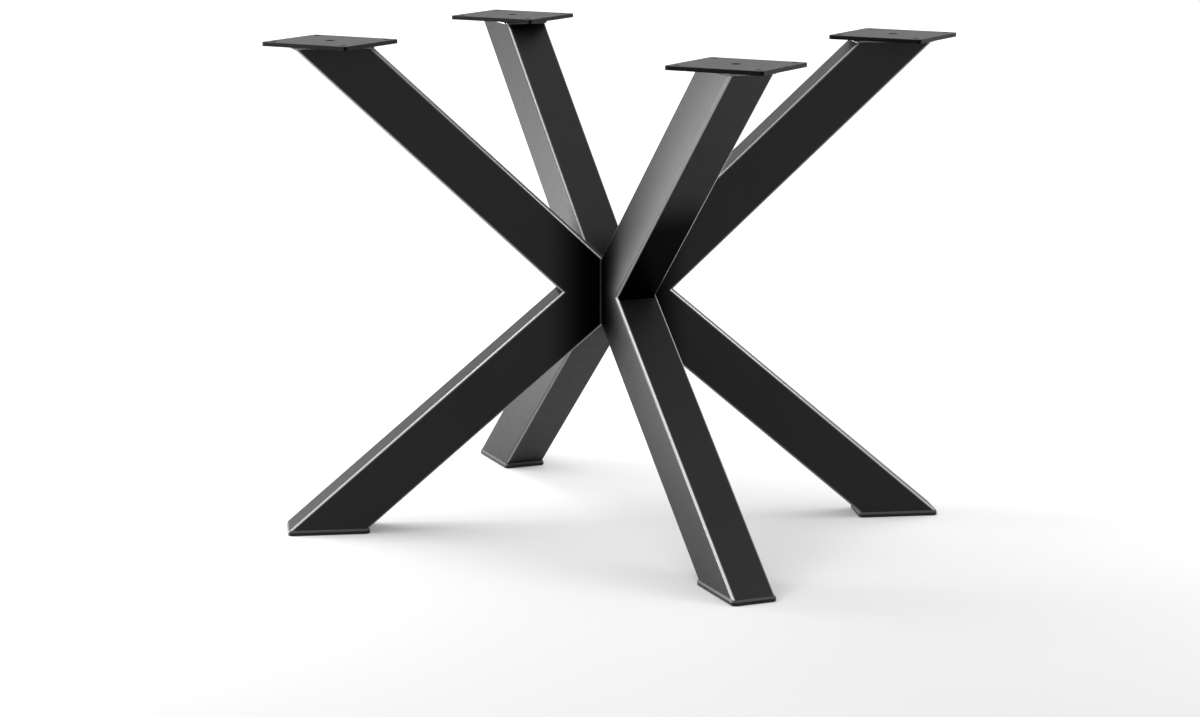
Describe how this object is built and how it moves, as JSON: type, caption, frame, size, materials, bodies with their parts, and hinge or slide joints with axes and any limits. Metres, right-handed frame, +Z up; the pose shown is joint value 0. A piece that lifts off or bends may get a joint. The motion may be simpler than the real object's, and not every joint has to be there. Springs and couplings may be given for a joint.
{
  "type": "table base",
  "caption": "Welded tube base for a dining table: V-shaped legs crossing at a central waist, with screw plates on top and plastic foot caps.",
  "frame": {"origin": "on the floor, straight below the centre of the waist where the four legs meet", "axes": "+Z up. X along the table's long side and Y along its short side, each leg over one quarter of the plan"},
  "size_m": [0.807, 0.6358, 0.72],
  "materials": {
    "powder_coat": "satin",
    "weld_coat": "satin",
    "foot_plastic": "matte"
  },
  "bodies": {
    "root": {"front_left_upper_arm": "powder_coat", "front_right_upper_arm": "powder_coat", "back_right_upper_arm": "powder_coat", "back_left_upper_arm": "powder_coat", "front_left_lower_arm": "powder_coat", "front_right_lower_arm": "powder_coat", "back_right_lower_arm": "powder_coat", "back_left_lower_arm": "powder_coat", "front_left_top_plate": "powder_coat", "front_right_top_plate": "powder_coat", "back_right_top_plate": "powder_coat", "back_left_top_plate": "powder_coat", "front_left_plate_weld": "weld_coat", "front_right_plate_weld": "weld_coat", "back_right_plate_weld": "weld_coat", "back_left_plate_weld": "weld_coat", "front_left_foot_cap": "foot_plastic", "front_right_foot_cap": "foot_plastic", "back_right_foot_cap": "foot_plastic", "back_left_foot_cap": "foot_plastic"}
  },
  "joints": []
}
